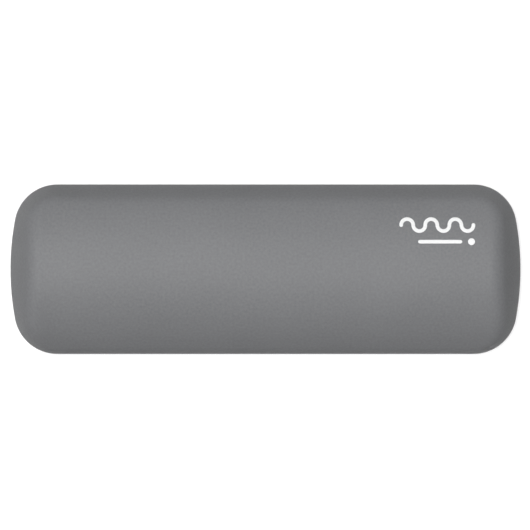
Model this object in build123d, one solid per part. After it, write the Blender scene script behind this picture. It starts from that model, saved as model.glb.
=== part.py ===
"""Padded wrist rest: a crowned foam pad in a stretch cover, on a stiffener board and a non-skid base.

Frame: +X along the rest, +Y away from the user (towards the keyboard), +Z up. The origin is on the
desk, under the middle of the rest. Millimetres.

The pad is one shape offset inwards several times. A plan outline of straight long edges, round corners
and bowed ends is drafted inwards as it rises, rounded under at the bottom edge, topped by a two-arc
crown that falls further towards the user, and rounded over at the top edge. The cover is the space
between two offsets of it, and the foam fills it.
"""

import os
from math import cos, radians, sqrt, tan

from build123d import *

# Overall size
LENGTH = 225.0
DEPTH = 74.8
HEIGHT = 26.0

# Plan outline at the widest level
CORNER_RADIUS = 19.0
END_RADIUS = 120.0

# Section of the pad
DRAFT = 25.0
CREST_Y = -0.5
CROWN_RADIUS_FRONT = 45.0
CROWN_RADIUS_BACK = 70.0
SHOULDER_RADIUS = 9.0
TUCK_RADIUS = 2.6

# Thicknesses of the layers
BASE_THICKNESS = 1.6
FILM = 0.2
COVER_THICKNESS = 1.0
BOARD_THICKNESS = 1.5
SUPPORT_FOAM_TOP = 12.0

# How far each layer's edge stands in from the widest outline
BASE_INSET = 5.0
BASE_FILM_INSET = 6.0
TAPE_INSET = 4.2
BOARD_INSET = 4.5
BOARD_FILM_INSET = 5.0
HEM_INSET = 12.5
BOARD_STEP_INSET = 12.7

# Non-skid pattern under the base
BASE_EDGE_ROUND = 0.5
RIM_WIDTH = 3.0
GROOVE_WIDTH = 1.2
GROOVE_DEPTH = 0.5
DIMPLE_RADIUS = 2.3
DIMPLE_DEPTH = 0.6
DIMPLE_PITCH = 7.0
DIMPLE_MARGIN = 3.6

# Printed mark: a plain wave over a bar and a dot
PRINT_THICKNESS = 0.12
WAVE_CENTRE = (74.2, 19.1)
WAVE_COUNT = 6
WAVE_RADIUS = 2.6
WAVE_STROKE = 1.6
BAR_CENTRE = (75.3, 11.9)
BAR_LENGTH = 19.0
BAR_WIDTH = 1.6
DOT_RADIUS = 1.5
DOT_CENTRE = (88.8, 11.9)

# Levels, from the desk up
BASE_TOP = BASE_THICKNESS
HEM_BOTTOM = BASE_TOP + FILM
HEM_TOP = HEM_BOTTOM + COVER_THICKNESS
BOARD_BOTTOM = HEM_TOP + FILM
BOARD_TOP = BOARD_BOTTOM + BOARD_THICKNESS
FOAM_FLOOR = BOARD_TOP + FILM
MEMORY_FOAM_BOTTOM = SUPPORT_FOAM_TOP + FILM
FOAM_OFFSET = COVER_THICKNESS + FILM
ABOVE = HEIGHT + 10.0


def outline(inset):
    """The plan outline as a face at Z = 0, moved in by inset. Its arcs keep their centres."""
    end_centre = LENGTH / 2 - END_RADIUS
    corner_y = DEPTH / 2 - CORNER_RADIUS
    corner_x = end_centre + sqrt((END_RADIUS - CORNER_RADIUS) ** 2 - corner_y**2)
    half_depth = DEPTH / 2 - inset
    half_length = LENGTH / 2 - inset
    toward_corner = Vector(corner_x - end_centre, corner_y).normalized()
    tangent = Vector(end_centre, 0) + toward_corner * (END_RADIUS - inset)
    middle = (toward_corner + Vector(0, 1)).normalized() * (CORNER_RADIUS - inset)
    bend = Vector(corner_x, corner_y) + middle
    edges = []
    for side in (1, -1):
        near_end = (side * corner_x, side * half_depth)
        far_end = (-side * corner_x, side * half_depth)
        near_tangent = (side * tangent.X, side * tangent.Y)
        far_tangent = (-side * tangent.X, side * tangent.Y)
        edges += [
            ThreePointArc((side * tangent.X, -side * tangent.Y), (side * half_length, 0), near_tangent),
            ThreePointArc(near_tangent, (side * bend.X, side * bend.Y), near_end),
            Line(near_end, far_end),
            ThreePointArc(far_end, (-side * bend.X, side * bend.Y), far_tangent),
        ]
    return Face(Wire(edges))


def slab(inset, bottom, top):
    """A flat layer with the plan outline moved in by inset, between two levels."""
    return extrude(Pos(0, 0, bottom) * outline(inset), amount=top - bottom)


def under_crown(offset):
    """Everything below the crown surface moved down by offset: two arcs that meet level at the crest."""
    reach = DEPTH / 2 + 2.0
    front_r = CROWN_RADIUS_FRONT - offset
    back_r = CROWN_RADIUS_BACK - offset
    crest = HEIGHT - offset
    front_z = crest - front_r + sqrt(front_r**2 - (reach + CREST_Y) ** 2)
    back_z = crest - back_r + sqrt(back_r**2 - (reach - CREST_Y) ** 2)
    section = Curve() + [
        TangentArc((CREST_Y, crest), (-reach, front_z), tangent=(-1, 0)),
        TangentArc((CREST_Y, crest), (reach, back_z), tangent=(1, 0)),
        Polyline((-reach, front_z), (-reach, -1), (reach, -1), (reach, back_z)),
    ]
    profile = Plane.YZ.offset(-LENGTH / 2 - 1) * make_face(section.edges())
    return extrude(profile, amount=LENGTH + 2)


def pad_form(offset):
    """The pad's outer shape moved inwards by offset on every side."""
    tuck = TUCK_RADIUS - offset
    bottom = HEM_BOTTOM + offset
    lean = tan(radians(DRAFT)) + 1 / cos(radians(DRAFT))
    foot = Pos(0, 0, bottom) * outline(TUCK_RADIUS - tuck * lean)
    block = extrude(foot, amount=ABOVE - bottom, taper=DRAFT)
    block = fillet(block.edges().group_by(Axis.Z)[0], tuck) & under_crown(offset)
    crown = [f for f in block.faces() if f.center().Z > bottom + 1 and f.normal_at(f.center()).Z > 0.7]
    crown_edges = [e for f in crown for e in f.edges()]
    shoulder = [e for e in crown_edges if sum(e.is_same(other) for other in crown_edges) == 1]
    return fillet(shoulder, SHOULDER_RADIUS - offset)


def above(level):
    """Everything above a level, over the whole plan."""
    return slab(-5, level, ABOVE)


def below(level):
    """Everything below a level, over the whole plan."""
    return slab(-5, -1, level)


def cover():
    """The stretch cover: a skin of even thickness, with its hem turned in under the pad."""
    return pad_form(0) - pad_form(COVER_THICKNESS) - slab(HEM_INSET, HEM_BOTTOM - 1, HEM_TOP + 1)


def cover_bond_film():
    """The adhesive between the cover and the foams, down to the level of the foam floor."""
    return (pad_form(COVER_THICKNESS) - pad_form(FOAM_OFFSET)) & above(FOAM_FLOOR)


def memory_foam():
    """The soft top layer, from the crown down to a flat bond line."""
    return pad_form(FOAM_OFFSET) & above(MEMORY_FOAM_BOTTOM)


def foam_bond_film():
    """The adhesive between the two foams."""
    return pad_form(FOAM_OFFSET) & slab(-5, SUPPORT_FOAM_TOP, MEMORY_FOAM_BOTTOM)


def support_foam():
    """The firm lower layer. It comes down round the board's edge."""
    foam = pad_form(FOAM_OFFSET) & below(SUPPORT_FOAM_TOP)
    return foam - slab(BOARD_INSET, 0, BOARD_TOP) - slab(BOARD_FILM_INSET, BOARD_TOP - 1, FOAM_FLOOR)


def board_bond_film():
    """The adhesive between the board and the firm foam."""
    return slab(BOARD_FILM_INSET, BOARD_TOP, FOAM_FLOOR)


def stiffener_board():
    """A flat board over the hem, stepped down inside it so its underside is flush with the hem's."""
    return slab(BOARD_INSET, BOARD_BOTTOM, BOARD_TOP) + slab(BOARD_STEP_INSET, HEM_BOTTOM, BOARD_BOTTOM)


def hem_bond_tape():
    """The ring of tape that holds the hem to the board."""
    return slab(TAPE_INSET, HEM_TOP, BOARD_BOTTOM) - slab(HEM_INSET, HEM_TOP - 1, BOARD_BOTTOM + 1)


def base_bond_film():
    """The adhesive between the base, the hem and the board."""
    return slab(BASE_FILM_INSET, BASE_TOP, HEM_BOTTOM)


def dimple_centres():
    """Centres on a triangular grid, kept clear of the groove and of the middle of the base."""
    field = outline(BASE_INSET + RIM_WIDTH + GROOVE_WIDTH + DIMPLE_MARGIN)
    row_pitch = DIMPLE_PITCH * sqrt(3) / 2
    rows = int(DEPTH / 2 / row_pitch)
    columns = int(LENGTH / 2 / DIMPLE_PITCH) + 1
    for row in range(-rows, rows + 1):
        for column in range(-columns, columns + 1):
            centre = Vector((column + 0.5 * (1 + row % 2)) * DIMPLE_PITCH, row * row_pitch)
            if field.is_inside(centre):
                yield centre


def non_skid_base():
    """The moulded base: a rim and a groove round a field of round dimples that grip the desk."""
    base = slab(BASE_INSET, 0, BASE_TOP)
    base = fillet(base.edges().group_by(Axis.Z)[0], BASE_EDGE_ROUND)
    groove_start = BASE_INSET + RIM_WIDTH
    groove = slab(groove_start, -1, GROOVE_DEPTH) - slab(groove_start + GROOVE_WIDTH, -2, GROOVE_DEPTH + 1)
    dimple = Cylinder(DIMPLE_RADIUS, DIMPLE_DEPTH, align=(Align.CENTER, Align.CENTER, Align.MIN))
    return base - groove - [Pos(centre) * dimple for centre in dimple_centres()]


def wave():
    """A row of half rings, bent up and down in turn, with round ends."""
    stroke = Sketch()
    ring = Circle(WAVE_RADIUS + WAVE_STROKE / 2) - Circle(WAVE_RADIUS - WAVE_STROKE / 2)
    size = 4 * WAVE_RADIUS
    upper = ring & Rectangle(size, size, align=(Align.CENTER, Align.MIN))
    lower = ring & Rectangle(size, size, align=(Align.CENTER, Align.MAX))
    for index in range(WAVE_COUNT):
        x = (index - (WAVE_COUNT - 1) / 2) * 2 * WAVE_RADIUS
        stroke += Pos(x, 0) * (lower if index % 2 else upper)
    for side in (-1, 1):
        stroke += Pos(side * WAVE_COUNT * WAVE_RADIUS, 0) * Circle(WAVE_STROKE / 2)
    return Pos(WAVE_CENTRE) * stroke


def printed_mark():
    """The mark as a thin film of ink that follows the crown."""
    ink = pad_form(-PRINT_THICKNESS) - pad_form(0)
    bar = Pos(BAR_CENTRE) * SlotOverall(BAR_LENGTH, BAR_WIDTH)
    dot = Pos(DOT_CENTRE) * Circle(DOT_RADIUS)
    shapes = [extrude(Pos(0, 0, HEIGHT / 2) * shape, amount=HEIGHT) for shape in (wave(), bar, dot)]
    return Compound([solid for shape in shapes for solid in (ink & shape).solids()])


PIECES = {
    "cover": cover,
    "cover_bond_film": cover_bond_film,
    "memory_foam": memory_foam,
    "foam_bond_film": foam_bond_film,
    "support_foam": support_foam,
    "board_bond_film": board_bond_film,
    "stiffener_board": stiffener_board,
    "hem_bond_tape": hem_bond_tape,
    "base_bond_film": base_bond_film,
    "non_skid_base": non_skid_base,
    "printed_mark": printed_mark,
}


def main():
    os.makedirs("parts", exist_ok=True)
    for name, build in PIECES.items():
        export_step(build(), f"parts/{name}.step")


if __name__ == "__main__":
    main()
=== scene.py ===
"""The looks of a padded wrist rest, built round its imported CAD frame.

The frame's axes: +X along the rest, +Y away from the user, +Z up, with the origin on the desk under the
middle of the rest. Shapes are worked out in millimetres and written to the meshes in metres.
"""

from math import atan2, cos, pi, radians, sin, sqrt

import bmesh
import bpy
import numpy as np
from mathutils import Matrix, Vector
from mathutils.bvhtree import BVHTree


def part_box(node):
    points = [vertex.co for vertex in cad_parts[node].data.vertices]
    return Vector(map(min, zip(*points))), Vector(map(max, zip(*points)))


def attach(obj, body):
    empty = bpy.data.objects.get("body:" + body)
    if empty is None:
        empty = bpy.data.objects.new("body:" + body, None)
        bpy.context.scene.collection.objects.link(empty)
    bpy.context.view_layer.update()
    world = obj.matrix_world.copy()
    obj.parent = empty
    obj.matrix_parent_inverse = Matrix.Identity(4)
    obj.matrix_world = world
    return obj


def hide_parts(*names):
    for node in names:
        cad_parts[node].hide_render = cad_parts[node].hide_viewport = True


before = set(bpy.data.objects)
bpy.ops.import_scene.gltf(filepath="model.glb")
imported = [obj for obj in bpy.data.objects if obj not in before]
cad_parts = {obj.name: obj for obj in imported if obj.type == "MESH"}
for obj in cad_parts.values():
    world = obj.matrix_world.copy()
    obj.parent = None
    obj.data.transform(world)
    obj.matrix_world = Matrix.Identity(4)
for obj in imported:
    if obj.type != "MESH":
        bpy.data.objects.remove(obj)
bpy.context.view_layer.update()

MM = 0.001

# The pad, from the frame
COVER_LOW, COVER_HIGH = (np.array(corner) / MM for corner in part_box("cover"))
LENGTH, DEPTH = (COVER_HIGH - COVER_LOW)[:2]
CROWN_TOP = COVER_HIGH[2]
PAD_BOTTOM = COVER_LOW[2]


def layer(node):
    """A flat layer's inset from the widest outline, its bottom and its top."""
    low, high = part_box(node)
    return LENGTH / 2 - high.x / MM, low.z / MM, high.z / MM


BOARD_INSET, _, BOARD_TOP = layer("stiffener_board")
FILM_INSET, _, FOAM_FLOOR = layer("board_bond_film")
_, SPLIT_LOW, SPLIT_HIGH = layer("foam_bond_film")

# The pad's outline and section, as in the CAD model, but for the sides: there they are straight, at
# 25 degrees, and here they swell a little, as a filled cover's do.
CORNER_RADIUS = 19.0
END_RADIUS = 120.0
CREST_Y = -0.5
CROWN_RADIUS_FRONT = 45.0
CROWN_RADIUS_BACK = 70.0
SHOULDER_RADIUS = 9.0
TUCK_RADIUS = 2.6
SIDE_LEAN = radians(19.5)
SIDE_RADIUS = 80.0
HEM_INSET = 12.5
COVER_THICKNESS = 1.0
FOAM_INSET = 1.2

# How finely the pad is divided
END_STEPS = 22
CORNER_STEPS = 60
STRAIGHT_STEPS = 36
HEM_ROWS = 6
TUCK_ROWS = 9
SIDE_ROWS = 6
SHOULDER_ROWS = 11
CROWN_ROWS = 4
PATCH_INSET = 16.5
FIT_HALVINGS = 40


# ---------------------------------------------------------------- the pad's surface


def quarter_stations():
    """The outline from the middle of the right end to the middle of the back.

    A station is an arc's centre, the outward direction and the arc's radius. A straight is a moving centre.
    """
    end_centre = LENGTH / 2 - END_RADIUS
    corner_y = DEPTH / 2 - CORNER_RADIUS
    corner_x = end_centre + sqrt((END_RADIUS - CORNER_RADIUS) ** 2 - corner_y**2)
    meet = atan2(corner_y, corner_x - end_centre)
    stations = []
    for angle in np.linspace(0, meet, END_STEPS, endpoint=False):
        stations.append((end_centre, 0, cos(angle), sin(angle), END_RADIUS))
    for angle in np.linspace(meet, pi / 2, CORNER_STEPS, endpoint=False):
        stations.append((corner_x, corner_y, cos(angle), sin(angle), CORNER_RADIUS))
    for x in np.linspace(corner_x, 0, STRAIGHT_STEPS + 1):
        stations.append((x, corner_y, 0, 1, CORNER_RADIUS))
    return np.array(stations)


def all_stations():
    """The whole outline, anticlockwise from the middle of the right end."""
    quarter = quarter_stations()
    flip_x = np.array([-1, 1, -1, 1, 1])
    flip_y = np.array([1, -1, 1, -1, 1])
    return np.concatenate([
        quarter,
        (quarter * flip_x)[-2::-1],
        (quarter * flip_x * flip_y)[1:],
        (quarter * flip_y)[-2:0:-1],
    ])


STATIONS = all_stations()
CENTRES = STATIONS[:, 0:2]
OUTWARD = STATIONS[:, 2:4]
RADII = STATIONS[:, 4:5]
QUARTER = END_STEPS + CORNER_STEPS + STRAIGHT_STEPS
CORNER_STATION = END_STEPS + CORNER_STEPS // 2
# The stations at the middles of the four corners, anticlockwise from the back right
CORNERS = (
    CORNER_STATION,
    2 * QUARTER - CORNER_STATION,
    2 * QUARTER + CORNER_STATION,
    4 * QUARTER - CORNER_STATION,
)


def plan_ring(inset):
    """The outline moved in by inset."""
    return CENTRES + OUTWARD * (RADII - inset)


def ring(inset, level):
    """The outline moved in by inset, at one level or at a level for each station."""
    flat = plan_ring(inset)
    return np.column_stack([flat, np.broadcast_to(level, len(flat))])


def crown_circle(y):
    """The radius of the crown over y, and its centre's level."""
    radius = np.where(y > CREST_Y, CROWN_RADIUS_BACK, CROWN_RADIUS_FRONT)
    return radius, CROWN_TOP - radius


def crown_level(y, offset):
    """The level of the crown surface, moved down along its normal by offset."""
    radius, centre = crown_circle(y)
    return centre + np.sqrt((radius - offset) ** 2 - (y - CREST_Y) ** 2)


def crown_arc(y):
    """The distance over the crown from the crest to y."""
    radius, _ = crown_circle(y)
    return radius * np.arcsin((y - CREST_Y) / radius)


# The side is an arc. At its foot it meets the tuck, and its own centre is inside and below the pad.
SIDE_CENTRE_INSET = TUCK_RADIUS * (1 - cos(SIDE_LEAN)) + SIDE_RADIUS * cos(SIDE_LEAN)
SIDE_CENTRE_LEVEL = PAD_BOTTOM + TUCK_RADIUS * (1 + sin(SIDE_LEAN)) - SIDE_RADIUS * sin(SIDE_LEAN)


def side_normal(lean):
    """The way out of the side at each station, where it leans in by an angle."""
    return np.column_stack([OUTWARD * np.cos(lean)[:, None], np.sin(lean)])


def side_points(lean, offset):
    """Where the side leans in by an angle at each station, moved in by offset."""
    radius = SIDE_RADIUS - offset
    inset = SIDE_CENTRE_INSET - radius * np.cos(lean)
    return np.column_stack([
        CENTRES + OUTWARD * (RADII - inset[:, None]),
        SIDE_CENTRE_LEVEL + radius * np.sin(lean),
    ])


def shoulder_fit():
    """The ball that rolls between the side and the crown, at each station.

    Gives the side's lean where the ball touches it, the ball's centre, and its way towards the crown.
    """
    low = np.full(len(STATIONS), SIDE_LEAN)
    high = np.full(len(STATIONS), pi / 2)
    for _ in range(FIT_HALVINGS):
        lean = (low + high) / 2
        centres = side_points(lean, SHOULDER_RADIUS)
        under = centres[:, 2] < crown_level(centres[:, 1], SHOULDER_RADIUS)
        low = np.where(under, lean, low)
        high = np.where(under, high, lean)
    radius, centre = crown_circle(centres[:, 1])
    toward_crown = np.column_stack([np.zeros(len(lean)), centres[:, 1] - CREST_Y, centres[:, 2] - centre])
    return lean, centres, toward_crown / (radius - SHOULDER_RADIUS)[:, None]


SHOULDER_LEAN, SHOULDER_CENTRES, TOWARD_CROWN = shoulder_fit()


def turned(start, end, share):
    """A direction part of the way round from start to end."""
    angle = np.arccos(np.clip((start * end).sum(axis=1), -1, 1))[:, None]
    return (np.sin((1 - share) * angle) * start + np.sin(share * angle) * end) / np.sin(angle)


def hem_rows():
    """Flat rows under the pad, from the hem's edge out to the tuck."""
    for inset in np.linspace(HEM_INSET, TUCK_RADIUS, HEM_ROWS, endpoint=False):
        yield ring(inset, PAD_BOTTOM)


def tuck_rows(offset):
    """Rows round the bottom edge, from level to the side."""
    radius = TUCK_RADIUS - offset
    for angle in np.linspace(-pi / 2, SIDE_LEAN, TUCK_ROWS, endpoint=False):
        yield ring(TUCK_RADIUS - radius * cos(angle), PAD_BOTTOM + TUCK_RADIUS + radius * sin(angle))


def side_rows(offset):
    """Rows up the side, from the tuck to the shoulder."""
    for share in np.linspace(0, 1, SIDE_ROWS, endpoint=False):
        yield side_points(SIDE_LEAN + (SHOULDER_LEAN - SIDE_LEAN) * share, offset)


def shoulder_rows(offset):
    """Rows over the rolled shoulder, from the side to the crown."""
    out = side_normal(SHOULDER_LEAN)
    for share in np.linspace(0, 1, SHOULDER_ROWS, endpoint=False):
        yield SHOULDER_CENTRES + turned(out, TOWARD_CROWN, share) * (SHOULDER_RADIUS - offset)


def crown_rows(offset):
    """Rows over the crown, from the shoulder to the ring that the middle patch fills."""
    edge = SHOULDER_CENTRES + TOWARD_CROWN * (SHOULDER_RADIUS - offset)
    inner = plan_ring(PATCH_INSET)
    for share in np.linspace(0, 1, CROWN_ROWS + 1):
        flat = edge[:, :2] + (inner - edge[:, :2]) * share
        yield np.column_stack([flat, crown_level(flat[:, 1], offset)])


def pad_rows(offset):
    """Rows from the bottom edge to the ring round the crown's middle, moved in by offset."""
    yield from tuck_rows(offset)
    yield from side_rows(offset)
    yield from shoulder_rows(offset)
    yield from crown_rows(offset)


def patch_grid(row):
    """The indices and plan positions of a grid that fills a ring, with its corners at CORNERS."""
    count = len(row)
    back_right, back_left, front_left, front_right = CORNERS
    front = np.arange(front_left, front_right + 1)
    right = np.arange(front_right, back_right + count + 1) % count
    back = np.arange(back_right, back_left + 1)[::-1]
    left = np.arange(back_left, front_left + 1)[::-1]
    u = np.linspace(0, 1, len(front))[None, :, None]
    v = np.linspace(0, 1, len(right))[:, None, None]
    flat = row[:, :2]
    plan = (1 - v) * flat[front][None] + v * flat[back][None]
    plan = plan + (1 - u) * flat[left][:, None] + u * flat[right][:, None]
    plan -= (1 - v) * ((1 - u) * flat[front_left] + u * flat[front_right])
    plan -= v * ((1 - u) * flat[back_left] + u * flat[back_right])
    index = np.full((len(right), len(front)), -1)
    index[0], index[-1], index[:, 0], index[:, -1] = front, back, left, right
    return index, plan


class Loft:
    """A mesh of rings, closed by a grid patch at either end."""

    def __init__(self, rows):
        self.rows = [np.asarray(row) for row in rows]
        self.count = len(self.rows[0])
        self.points = [np.concatenate(self.rows)]
        self.faces = []
        for lower in range(len(self.rows) - 1):
            for at in range(self.count):
                after = (at + 1) % self.count
                below, over = lower * self.count, (lower + 1) * self.count
                self.faces.append((below + at, below + after, over + after, over + at))

    def lid(self, at_end, level):
        """Fills the first or the last ring. level gives the height over a plan position."""
        first = len(self.rows) - 1 if at_end else 0
        index, plan = patch_grid(self.rows[first])
        index = np.where(index >= 0, index + first * self.count, -1)
        inside = index < 0
        start = sum(len(block) for block in self.points)
        index[inside] = start + np.arange(inside.sum())
        flat = plan[inside]
        self.points.append(np.column_stack([flat, level(flat[:, 1])]))
        for j in range(index.shape[0] - 1):
            for i in range(index.shape[1] - 1):
                quad = (index[j, i], index[j, i + 1], index[j + 1, i + 1], index[j + 1, i])
                self.faces.append(quad if at_end else quad[::-1])
        return self

    def mesh(self, name):
        points = np.concatenate(self.points)
        mesh = bpy.data.meshes.new(name)
        mesh.from_pydata((points * MM).tolist(), [], [tuple(int(i) for i in face) for face in self.faces])
        mesh.polygons.foreach_set("use_smooth", [True] * len(mesh.polygons))
        mesh.validate()
        return mesh


def add_object(mesh):
    """An object for the mesh, under the mesh's own name."""
    piece = bpy.data.objects.new(mesh.name, mesh)
    bpy.context.scene.collection.objects.link(piece)
    return piece


def grain(points, rows):
    """Where each point lies on the flat cloth: the crown unrolled, and the sides and hem out from it."""
    flat = np.column_stack([points[:, 0], crown_arc(points[:, 1])])
    rings = [np.asarray(row) for row in rows]
    count = len(rings[0])
    here = np.column_stack([rings[-1][:, 0], crown_arc(rings[-1][:, 1])])
    for index in range(len(rings) - 1, -1, -1):
        if index < len(rings) - 1:
            step = np.linalg.norm(rings[index] - rings[index + 1], axis=1)
            here = here + OUTWARD * step[:, None]
        flat[index * count:(index + 1) * count] = here
    return flat


def store_grain(mesh, flat):
    """Keeps the cloth positions in the mesh, in metres, for the knit to follow."""
    attribute = mesh.attributes.new("grain", "FLOAT_VECTOR", "POINT")
    values = np.column_stack([flat * MM, np.zeros(len(flat))])
    attribute.data.foreach_set("vector", values.astype(np.float32).ravel())


# The hem's gathers: how deep, how far apart, how far in they end, how high they start and how much of the
# corner they take, and the slow drift that keeps their spacing from being even
GATHER_DEPTH = 0.35
GATHER_PITCH = 2.6
GATHER_INNER_INSET = 7.0
GATHER_HEIGHT = 0.8 * TUCK_RADIUS
GATHER_SPREAD = 0.42
DRIFT = 0.9
DRIFT_LENGTH = 3.7

# The cloth over the foam, and how far it swells at most
CLOTH_PRESSURE = 4.0
CLOTH_MASS = 0.3
CLOTH_QUALITY = 4
SWELL = 0.35
SWELL_FRAMES = 20

# A foam's cut edges are crisp above this angle
CRISP_ANGLE = radians(40)


def gathered(rows):
    """The rows with gathers pressed in round the corners, where the hem turns under the pad."""
    row = plan_ring(TUCK_RADIUS)
    walked = np.concatenate([[0], np.cumsum(np.linalg.norm(np.diff(row, axis=0), axis=1))])
    turn = np.clip(1 - np.abs(OUTWARD[:, 0] ** 2 - 0.5) / GATHER_SPREAD, 0, 1)
    fold = np.sin(2 * pi * walked / GATHER_PITCH + DRIFT * np.sin(walked / DRIFT_LENGTH))
    depth = GATHER_DEPTH * turn * (0.5 + 0.5 * fold)
    for points in rows:
        inset = (OUTWARD * (plan_ring(0) - points[:, :2])).sum(axis=1)
        low = np.clip((PAD_BOTTOM + GATHER_HEIGHT - points[:, 2]) / GATHER_HEIGHT, 0, 1)
        near = np.clip((GATHER_INNER_INSET - inset) / (GATHER_INNER_INSET - TUCK_RADIUS), 0, 1)
        yield points + np.column_stack([np.zeros_like(row), depth * np.minimum(low, near)])


def relax(piece, held):
    """Lets the cloth swell under the foam's push, and keeps a share of it.

    No point moves more than SWELL, and the held ones don't move.
    """
    rest = np.empty(len(piece.data.vertices) * 3)
    piece.data.vertices.foreach_get("co", rest)
    group = piece.vertex_groups.new(name="held")
    group.add([int(index) for index in held], 1.0, "REPLACE")
    cloth = piece.modifiers.new("cloth", "CLOTH")
    cloth.settings.quality = CLOTH_QUALITY
    cloth.settings.mass = CLOTH_MASS
    cloth.settings.use_pressure = True
    cloth.settings.uniform_pressure_force = CLOTH_PRESSURE
    cloth.settings.effector_weights.gravity = 0.0
    cloth.settings.vertex_group_mass = group.name
    cloth.point_cache.frame_end = SWELL_FRAMES
    for step in range(1, SWELL_FRAMES + 1):
        bpy.context.scene.frame_set(step)
    swollen = np.empty_like(rest)
    piece.evaluated_get(bpy.context.evaluated_depsgraph_get()).data.vertices.foreach_get("co", swollen)
    piece.modifiers.remove(cloth)
    piece.vertex_groups.remove(group)
    bpy.context.scene.frame_set(1)
    moved = (swollen - rest).reshape(-1, 3)
    share = min(1.0, SWELL * MM / np.linalg.norm(moved, axis=1).max())
    piece.data.vertices.foreach_set("co", rest + moved.ravel() * share)
    piece.data.update()


def make_cover():
    """The cover: a skin over the crown, the shoulders and the sides, with its hem turned in under the pad."""
    rows = list(gathered([*hem_rows(), *pad_rows(0)]))
    loft = Loft(rows).lid(True, lambda y: crown_level(y, 0))
    mesh = loft.mesh("cover_fabric")
    store_grain(mesh, grain(np.concatenate(loft.points), rows))
    cover = add_object(mesh)
    relax(cover, range((HEM_ROWS + TUCK_ROWS) * len(STATIONS)))
    thick = cover.modifiers.new("cloth_thickness", "SOLIDIFY")
    thick.thickness = COVER_THICKNESS * MM
    thick.offset = -1
    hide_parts("cover")
    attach(cover, "root")
    return cover


def cut_rows(rows, level, keep_above):
    """The rows above or below a level, spread out again station by station."""
    stack = np.array(list(rows))
    steps = np.arange(len(stack))
    cut = np.empty_like(stack)
    for at in range(stack.shape[1]):
        line = stack[:, at]
        over = int(np.argmax(line[:, 2] > level))
        meet = over - (line[over, 2] - level) / (line[over, 2] - line[over - 1, 2])
        places = np.linspace(meet, steps[-1], len(steps)) if keep_above else np.linspace(0, meet, len(steps))
        for axis in range(3):
            cut[:, at, axis] = np.interp(places, steps, line[:, axis])
    return cut


def make_foam(name, node, loft):
    """A foam layer from its loft, with crisp cut edges."""
    mesh = loft.mesh(name)
    mesh.set_sharp_from_angle(angle=CRISP_ANGLE)
    foam = add_object(mesh)
    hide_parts(node)
    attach(foam, "root")
    return foam


def make_memory_foam():
    """The soft top layer: a crowned block on the flat bond line."""
    rows = cut_rows(pad_rows(FOAM_INSET), SPLIT_HIGH, keep_above=True)
    loft = Loft(rows)
    loft.lid(False, lambda y: np.full_like(y, SPLIT_HIGH))
    loft.lid(True, lambda y: crown_level(y, FOAM_INSET))
    return make_foam("top_foam", "memory_foam", loft)


def make_support_foam():
    """The firm lower layer, with the pocket under it that the board sits in."""
    pocket = [
        ring(FILM_INSET, FOAM_FLOOR),
        ring(FILM_INSET, BOARD_TOP),
        ring(BOARD_INSET, BOARD_TOP),
        ring(BOARD_INSET, PAD_BOTTOM + FOAM_INSET),
    ]
    sides = cut_rows(pad_rows(FOAM_INSET), SPLIT_LOW, keep_above=False)
    loft = Loft([*pocket, *sides])
    loft.lid(False, lambda y: np.full_like(y, FOAM_FLOOR))
    loft.lid(True, lambda y: np.full_like(y, SPLIT_LOW))
    return make_foam("base_foam", "support_foam", loft)


cover = make_cover()
top_foam = make_memory_foam()
base_foam = make_support_foam()


# ---------------------------------------------------------------- the printed mark

INK_LIFT = 0.06
INK_THICKNESS = 0.12
INK_ACROSS = 6
INK_STEP = 0.35
INK_WELD = 0.002
CAP_STEPS = 8

# A plain wave over a bar and a dot, as in the CAD model
WAVE_CENTRE = (74.2, 19.1)
WAVE_COUNT = 6
WAVE_RADIUS = 2.6
WAVE_STROKE = 1.6
BAR_CENTRE = (75.3, 11.9)
BAR_LENGTH = 19.0
BAR_WIDTH = 1.6
DOT_RADIUS = 1.5
DOT_CENTRE = (88.8, 11.9)


def wave_path():
    """The middle line of a row of half rings, bent up and down in turn, and the direction across it."""
    steps = int(pi * WAVE_RADIUS / INK_STEP)
    for index in range(WAVE_COUNT):
        centre = np.array(WAVE_CENTRE) + ((index - (WAVE_COUNT - 1) / 2) * 2 * WAVE_RADIUS, 0)
        side = -1 if index % 2 else 1
        for angle in np.linspace(pi, 0, steps, endpoint=index == WAVE_COUNT - 1):
            out = np.array([cos(angle), side * sin(angle)])
            yield centre + WAVE_RADIUS * out, (side * cos(angle), sin(angle))


def line_path(centre, length):
    """A straight middle line along X, and the direction across it."""
    for offset in np.linspace(-length / 2, length / 2, max(2, int(length / INK_STEP))):
        yield np.array(centre) + (offset, 0), (0, 1)


def stroke(path, width):
    """Rows of plan points across a stroke with round ends."""
    path = [(place, np.array(across)) for place, across in path]
    spread = np.linspace(-width / 2, width / 2, INK_ACROSS + 1)[:, None]
    turns = np.linspace(0, pi / 2, CAP_STEPS + 1)[1:]

    def cap(place, across, way):
        ahead = np.array([across[1], -across[0]]) * way
        return [place + ahead * (width / 2) * sin(turn) + spread * cos(turn) * across for turn in turns]

    body = [place + spread * across for place, across in path]
    return cap(*path[0], -1)[::-1] + body + cap(*path[-1], 1)


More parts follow.
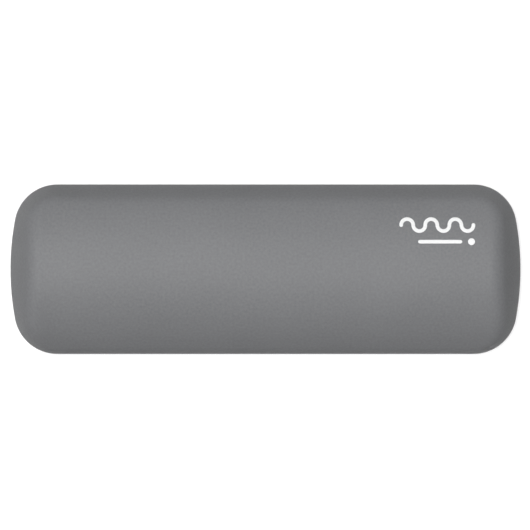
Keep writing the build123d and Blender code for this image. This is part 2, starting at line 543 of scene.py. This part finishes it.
def make_mark():
    """The mark as a thin film of ink laid on the cover."""
    strokes = [
        stroke(wave_path(), WAVE_STROKE),
        stroke(line_path(BAR_CENTRE, BAR_LENGTH - BAR_WIDTH), BAR_WIDTH),
        stroke(line_path(DOT_CENTRE, 0), 2 * DOT_RADIUS),
    ]
    under = BVHTree.FromObject(cover, bpy.context.evaluated_depsgraph_get())
    down = Vector((0, 0, -1))
    points, faces, flat = [], [], []
    for rows in strokes:
        start = len(points)
        for x, y in np.concatenate(rows):
            place, normal, _, _ = under.ray_cast(Vector((x, y, 2 * CROWN_TOP)) * MM, down)
            points.append(place + normal * INK_LIFT * MM)
            flat.append((x, crown_arc(y)))
        width = INK_ACROSS + 1
        for row in range(len(rows) - 1):
            for at in range(INK_ACROSS):
                corner = start + row * width + at
                faces.append((corner + 1, corner, corner + width, corner + width + 1))
    mesh = bpy.data.meshes.new("print_mark")
    mesh.from_pydata(points, [], faces)
    store_grain(mesh, np.array(flat))
    work = bmesh.new()
    work.from_mesh(mesh)
    bmesh.ops.remove_doubles(work, verts=work.verts, dist=INK_WELD * MM)
    work.to_mesh(mesh)
    work.free()
    mesh.polygons.foreach_set("use_smooth", [True] * len(mesh.polygons))
    ink = add_object(mesh)
    thick = ink.modifiers.new("ink_thickness", "SOLIDIFY")
    thick.thickness = INK_THICKNESS * MM
    thick.offset = -1
    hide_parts("printed_mark")
    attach(ink, "root")
    return ink


mark = make_mark()


# ---------------------------------------------------------------- materials


class Shader:
    """A node material, with short ways to add and join nodes."""

    def __init__(self, name):
        self.material = bpy.data.materials.new(name)
        self.material.use_nodes = True
        self.nodes = self.material.node_tree.nodes
        self.links = self.material.node_tree.links
        self.surface = self.nodes["Principled BSDF"]

    def set(self, **values):
        """Sets the surface's own sockets. A name's underscores stand for spaces."""
        for name, value in values.items():
            self.surface.inputs[name.replace("_", " ")].default_value = value

    def add(self, kind, **settings):
        """Adds a shader node of a kind, with its settings."""
        node = self.nodes.new("ShaderNode" + kind)
        for name, value in settings.items():
            setattr(node, name, value)
        return node

    def feed(self, socket, value):
        """Joins an output to a socket, or sets the socket's value."""
        if isinstance(value, bpy.types.NodeSocket):
            self.links.new(value, socket)
        else:
            socket.default_value = value

    def math(self, operation, first, second=0.0, third=0.0):
        node = self.add("Math", operation=operation)
        for socket, value in zip(node.inputs, (first, second, third)):
            self.feed(socket, value)
        return node.outputs[0]

    def noise(self, vector, scale, detail=2.0, roughness=0.5):
        node = self.add("TexNoise")
        self.feed(node.inputs["Vector"], vector)
        node.inputs["Scale"].default_value = scale
        node.inputs["Detail"].default_value = detail
        node.inputs["Roughness"].default_value = roughness
        return node.outputs["Fac"]

    def cells(self, vector, scale, feature="F1"):
        node = self.add("TexVoronoi", feature=feature)
        self.feed(node.inputs["Vector"], vector)
        node.inputs["Scale"].default_value = scale
        return node.outputs["Distance"]

    def spread(self, value, low, high, to_low, to_high):
        node = self.add("MapRange")
        for socket, entry in zip(node.inputs, (value, low, high, to_low, to_high)):
            self.feed(socket, entry)
        return node.outputs["Result"]

    def mix(self, share, first, second):
        node = self.add("Mix", data_type="RGBA")
        self.feed(node.inputs["Factor"], share)
        self.feed(node.inputs["A"], (*first, 1) if isinstance(first, tuple) else first)
        self.feed(node.inputs["B"], (*second, 1) if isinstance(second, tuple) else second)
        return node.outputs["Result"]

    def bump(self, height, distance, strength=1.0, under=None):
        node = self.add("Bump")
        node.inputs["Distance"].default_value = distance
        node.inputs["Strength"].default_value = strength
        self.feed(node.inputs["Height"], height)
        if under is not None:
            self.links.new(under, node.inputs["Normal"])
        return node.outputs["Normal"]

    def finish(self, colour=None, roughness=None, normal=None):
        """Joins what varies over the surface to its sockets."""
        for name, value in (("Base Color", colour), ("Roughness", roughness), ("Normal", normal)):
            if value is not None:
                self.links.new(value, self.surface.inputs[name])
        return self.material


def paint(piece, material):
    """Puts the material on every slot of a piece."""
    if not piece.data.materials:
        piece.data.materials.append(material)
    for place in piece.material_slots:
        place.material = material


# The jersey's rib and row pitches, and the tape's thread pitch, in metres
WALE = 0.00052
COURSE = 0.00042
SCRIM_PITCH = 0.0011

# The darkest and the lightest yarn of the cover
FABRIC_DARK = (0.128, 0.1305, 0.135)
FABRIC_LIGHT = (0.159, 0.1615, 0.167)


def knit(shader, place):
    """The height of a fine jersey knit over the cloth: ribs of loops that lean left and right in turn."""
    split = shader.add("SeparateXYZ")
    shader.feed(split.inputs[0], place)
    chevron = shader.math("PINGPONG", shader.math("MULTIPLY", split.outputs["X"], 2 / WALE), 1.0)
    along = shader.math("MULTIPLY", split.outputs["Y"], 2 * pi / COURSE)
    lean = shader.math("MULTIPLY_ADD", chevron, pi, along)
    loops = shader.math("MULTIPLY_ADD", shader.math("SINE", lean), 0.5, 0.5)
    ribs = shader.math("SINE", shader.math("MULTIPLY", chevron, pi))
    return shader.math("MULTIPLY", loops, ribs)


def fabric_material():
    """A fine grey jersey with a short nap."""
    fabric = Shader("cover_jersey")
    place = fabric.add("Attribute", attribute_name="grain").outputs["Vector"]
    nap = fabric.noise(place, 5200, 3, 0.6)
    height = fabric.math("MULTIPLY_ADD", nap, 0.6, knit(fabric, place))
    yarn = fabric.noise(place, 900, 2)
    cloud = fabric.noise(place, 28, 3)
    tone = fabric.math("MULTIPLY_ADD", yarn, 0.75, fabric.math("MULTIPLY", cloud, 0.25))
    colour = fabric.mix(fabric.spread(tone, 0.3, 0.7, 0.0, 1.0), FABRIC_DARK, FABRIC_LIGHT)
    roughness = fabric.spread(nap, 0.2, 0.8, 0.52, 0.62)
    fabric.set(Specular_IOR_Level=0.3, Sheen_Weight=0.03, Sheen_Roughness=0.3)
    return fabric.finish(colour, roughness, fabric.bump(height, 0.00006, 0.35))


def ink_material():
    """Flat white screen ink that has sunk a little into the knit."""
    ink = Shader("print_ink")
    place = ink.add("Attribute", attribute_name="grain").outputs["Vector"]
    loops = knit(ink, place)
    wear = ink.noise(place, 1600, 3)
    height = ink.math("MULTIPLY_ADD", wear, 0.4, loops)
    colour = ink.mix(ink.spread(wear, 0.35, 0.75, 0.0, 1.0), (0.745, 0.745, 0.745), (0.67, 0.67, 0.675))
    roughness = ink.spread(wear, 0.2, 0.8, 0.45, 0.6)
    ink.set(Specular_IOR_Level=0.3)
    return ink.finish(colour, roughness, ink.bump(height, 0.00004, 0.3))


def foam_material(name, cell, dark, light):
    """Open-cell foam: pores of one size with thin walls, a little uneven in tone, with painted shade
    darkening the middle of each pore.
    """
    foam = Shader(name)
    place = foam.add("TexCoord").outputs["Object"]
    pores = foam.cells(place, 1 / cell)
    height = foam.math("MULTIPLY_ADD", foam.noise(place, 4 / cell, 2), 0.3, pores)
    # The colour is darker towards each pore's middle, which is painted shade in the pore hollows; the noise
    # adds uneven tone at random.
    tone = foam.math("MULTIPLY_ADD", foam.noise(place, 40, 3), 0.5, foam.math("MULTIPLY", pores, 0.6))
    colour = foam.mix(foam.spread(tone, 0.2, 0.75, 0.0, 1.0), dark, light)
    foam.set(Roughness=0.92, Specular_IOR_Level=0.15)
    return foam.finish(colour, normal=foam.bump(height, cell / 2, 0.8))


def film_material():
    """A thin film of dried contact adhesive, with drag lines from spreading."""
    film = Shader("bond_film")
    place = film.add("TexCoord").outputs["Object"]
    stretch = film.add("Mapping")
    stretch.inputs["Scale"].default_value = (60, 900, 900)
    film.feed(stretch.inputs["Vector"], place)
    drag = film.noise(stretch.outputs["Vector"], 1.0, 3)
    pools = film.noise(place, 120, 3)
    colour = film.mix(film.spread(pools, 0.3, 0.7, 0.0, 1.0), (0.60, 0.56, 0.42), (0.72, 0.69, 0.57))
    roughness = film.spread(drag, 0.3, 0.7, 0.22, 0.42)
    height = film.math("MULTIPLY_ADD", pools, 0.5, drag)
    return film.finish(colour, roughness, film.bump(height, 0.00004, 0.7))


def tape_material():
    """Double-sided tape: a pale adhesive over a crossed scrim."""
    tape = Shader("hem_tape")
    place = tape.add("TexCoord").outputs["Object"]
    split = tape.add("SeparateXYZ")
    tape.feed(split.inputs[0], place)
    turns = [tape.math("MULTIPLY", split.outputs[axis], 2 * pi / SCRIM_PITCH) for axis in "XY"]
    scrim = tape.math("MAXIMUM", *[tape.math("SINE", turn) for turn in turns])
    blotch = tape.noise(place, 180, 3)
    tone = tape.math("MULTIPLY_ADD", scrim, 0.2, blotch)
    colour = tape.mix(tape.spread(tone, 0.3, 0.9, 0.0, 1.0), (0.66, 0.63, 0.54), (0.80, 0.78, 0.71))
    roughness = tape.spread(blotch, 0.3, 0.7, 0.4, 0.6)
    return tape.finish(colour, roughness, tape.bump(scrim, 0.00004, 0.6))


def board_material():
    """Moulded black plastic with a fine leather grain and faint flow marks."""
    board = Shader("board_plastic")
    place = board.add("TexCoord").outputs["Object"]
    pebbles = board.cells(place, 1400)
    flow = board.noise(place, 26, 4)
    height = board.math("MULTIPLY_ADD", board.noise(place, 4000, 2), 0.3, pebbles)
    colour = board.mix(board.spread(flow, 0.3, 0.7, 0.0, 1.0), (0.028, 0.028, 0.030), (0.044, 0.044, 0.046))
    roughness = board.spread(flow, 0.3, 0.7, 0.42, 0.56)
    board.set(Specular_IOR_Level=0.45)
    return board.finish(colour, roughness, board.bump(height, 0.00008, 0.5))


def rubber_material():
    """Moulded black elastomer: matte, faintly mottled, with a sparse pale bloom."""
    rubber = Shader("base_rubber")
    place = rubber.add("TexCoord").outputs["Object"]
    grain = rubber.noise(place, 3800, 3, 0.6)
    mottle = rubber.noise(place, 70, 4)
    bloom = rubber.spread(rubber.noise(place, 420, 3), 0.6, 0.85, 0.0, 0.35)
    share = rubber.spread(mottle, 0.3, 0.7, 0.0, 1.0)
    black = rubber.mix(share, (0.020, 0.020, 0.022), (0.034, 0.034, 0.036))
    colour = rubber.mix(bloom, black, (0.085, 0.085, 0.088))
    roughness = rubber.spread(mottle, 0.3, 0.7, 0.62, 0.8)
    rubber.set(Specular_IOR_Level=0.35)
    return rubber.finish(colour, roughness, rubber.bump(grain, 0.00005, 0.6))


paint(cover, fabric_material())
paint(mark, ink_material())
paint(top_foam, foam_material("memory_foam", 0.0004, (0.70, 0.62, 0.40), (0.86, 0.80, 0.58)))
paint(base_foam, foam_material("support_foam", 0.0007, (0.062, 0.065, 0.072), (0.105, 0.11, 0.12)))
adhesive = film_material()
for node in ("cover_bond_film", "foam_bond_film", "board_bond_film", "base_bond_film"):
    paint(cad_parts[node], adhesive)
paint(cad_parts["hem_bond_tape"], tape_material())
paint(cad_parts["stiffener_board"], board_material())
paint(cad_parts["non_skid_base"], rubber_material())


# ---------------------------------------------------------------- stage, lights and camera

# The camera, in millimetres: the rest fills a share of the picture's width at its widest level
FRAME_SHARE = 0.962
FRAME_WIDTH = LENGTH / FRAME_SHARE
CAMERA_LENS = 135.0
CAMERA_SENSOR = 36.0
WIDEST_LEVEL = PAD_BOTTOM + TUCK_RADIUS
LOOK_AT = (-0.21, 1.85)

# The studio, in metres
FLOOR_RADIUS = 3.0
COVE_RADIUS = 1.2
COVE_STEPS = 10
WALL_HEIGHT = 3.5
FLOOR_GLOW = 0.55
WALL_GLOW = 0.95
DOME_RADIUS = 6.0
DOME_STEPS = 25
FLOOR_GAP = 0.0001

# The two soft lights: their power, the way towards them, and how wide they look
OVERHEAD_POWER = 4.32
OVERHEAD_WAY = (-0.19, 0.05, 1)
UNDERNEATH_POWER = 2.2
UNDERNEATH_WAY = (0.1, -0.15, -1)
LIGHT_SPREAD = radians(40)


def revolved(name, profile, turns=96):
    """A surface of revolution about Z from (radius, level) points. The first point is on the axis."""
    points = [(0, 0, profile[0][1])]
    for radius, level in profile[1:]:
        for angle in np.linspace(0, 2 * pi, turns, endpoint=False):
            points.append((radius * cos(angle), radius * sin(angle), level))
    faces = [(0, 1 + at, 1 + (at + 1) % turns) for at in range(turns)]
    for band in range(len(profile) - 2):
        inner, outer = 1 + band * turns, 1 + (band + 1) * turns
        for at in range(turns):
            after = (at + 1) % turns
            faces.append((inner + at, outer + at, outer + after, inner + after))
    mesh = bpy.data.meshes.new(name)
    mesh.from_pydata(points, [], faces)
    mesh.polygons.foreach_set("use_smooth", [True] * len(mesh.polygons))
    return add_object(mesh)


def make_sweep():
    """A white studio sweep: a floor that curves up into a wall all round. It can't be seen from below."""
    profile = [(0, 0)]
    for turn in np.linspace(0, pi / 2, COVE_STEPS):
        profile.append((FLOOR_RADIUS + COVE_RADIUS * sin(turn), COVE_RADIUS * (1 - cos(turn))))
    profile.append((FLOOR_RADIUS + COVE_RADIUS, WALL_HEIGHT))
    sweep = revolved("sweep", [(radius, level - FLOOR_GAP) for radius, level in profile])
    sweep.visible_diffuse = False
    sweep.visible_shadow = False
    paper = Shader("sweep_paper")
    place = paper.add("TexCoord").outputs["Object"]
    colour = paper.mix(paper.noise(place, 40, 2), (0.43, 0.43, 0.43), (0.45, 0.45, 0.45))
    paper.set(Roughness=0.9, Specular_IOR_Level=0.1, Emission_Color=(1, 1, 1, 1))
    split = paper.add("SeparateXYZ")
    paper.feed(split.inputs[0], place)
    glow = paper.spread(split.outputs["Z"], 0.0, COVE_RADIUS, FLOOR_GLOW, WALL_GLOW)
    paper.feed(paper.surface.inputs["Emission Strength"], glow)
    material = paper.finish(colour)
    one_sided = paper.add("MixShader")
    paper.feed(one_sided.inputs[0], paper.add("NewGeometry").outputs["Backfacing"])
    paper.feed(one_sided.inputs[1], paper.surface.outputs[0])
    paper.feed(one_sided.inputs[2], paper.add("BsdfTransparent").outputs[0])
    paper.feed(paper.nodes["Material Output"].inputs["Surface"], one_sided.outputs[0])
    paint(sweep, material)


def make_dome():
    """A white dome round the studio. It is seen behind the rest from underneath, and lights nothing."""
    arc = np.linspace(0, pi, DOME_STEPS)
    dome = revolved("dome", [(DOME_RADIUS * sin(turn), -DOME_RADIUS * cos(turn)) for turn in arc])
    dome.visible_diffuse = False
    dome.visible_glossy = False
    dome.visible_shadow = False
    white = Shader("dome_white")
    white.set(Base_Color=(0, 0, 0, 1), Specular_IOR_Level=0.0)
    white.set(Emission_Color=(1, 1, 1, 1), Emission_Strength=1.0)
    paint(dome, white.finish())


def make_bounce_card():
    """A dark card under the object that sets how much light comes back up on its sides."""
    card = revolved("bounce_card", [(0, -2 * FLOOR_GAP), (FLOOR_RADIUS / 2, -2 * FLOOR_GAP)])
    card.visible_camera = False
    card.visible_glossy = False
    card.visible_shadow = False
    grey = Shader("bounce_grey")
    grey.set(Base_Color=(0.04, 0.04, 0.04, 1), Roughness=0.9, Specular_IOR_Level=0.0)
    paint(card, grey.finish())


def add_sun(name, energy, toward):
    """A soft, distant light, with the way towards it."""
    light = bpy.data.lights.new(name, "SUN")
    light.energy = energy
    light.angle = LIGHT_SPREAD
    lamp = bpy.data.objects.new(name, light)
    lamp.rotation_euler = Vector(toward).to_track_quat("Z", "Y").to_euler()
    bpy.context.scene.collection.objects.link(lamp)


def make_lights():
    """One soft light overhead, and a weaker one below that shows the base from underneath."""
    add_sun("overhead", OVERHEAD_POWER, OVERHEAD_WAY)
    add_sun("underneath", UNDERNEATH_POWER, UNDERNEATH_WAY)
    world = bpy.data.worlds.new("studio")
    world.use_nodes = True
    world.node_tree.nodes["Background"].inputs["Color"].default_value = (1, 1, 1, 1)
    world.node_tree.nodes["Background"].inputs["Strength"].default_value = 0.0
    bpy.context.scene.world = world


def make_camera():
    """A long lens straight above the rest."""
    data = bpy.data.cameras.new("camera")
    data.lens = CAMERA_LENS
    data.sensor_width = CAMERA_SENSOR
    data.clip_start = 0.01
    distance = FRAME_WIDTH * CAMERA_LENS / CAMERA_SENSOR
    camera = bpy.data.objects.new("camera", data)
    camera.location = (LOOK_AT[0] * MM, LOOK_AT[1] * MM, (WIDEST_LEVEL + distance) * MM)
    bpy.context.scene.collection.objects.link(camera)
    bpy.context.scene.camera = camera


make_sweep()
make_dome()
make_bounce_card()
make_lights()
make_camera()
bpy.context.scene.view_settings.view_transform = "Standard"

bpy.context.view_layer.update()
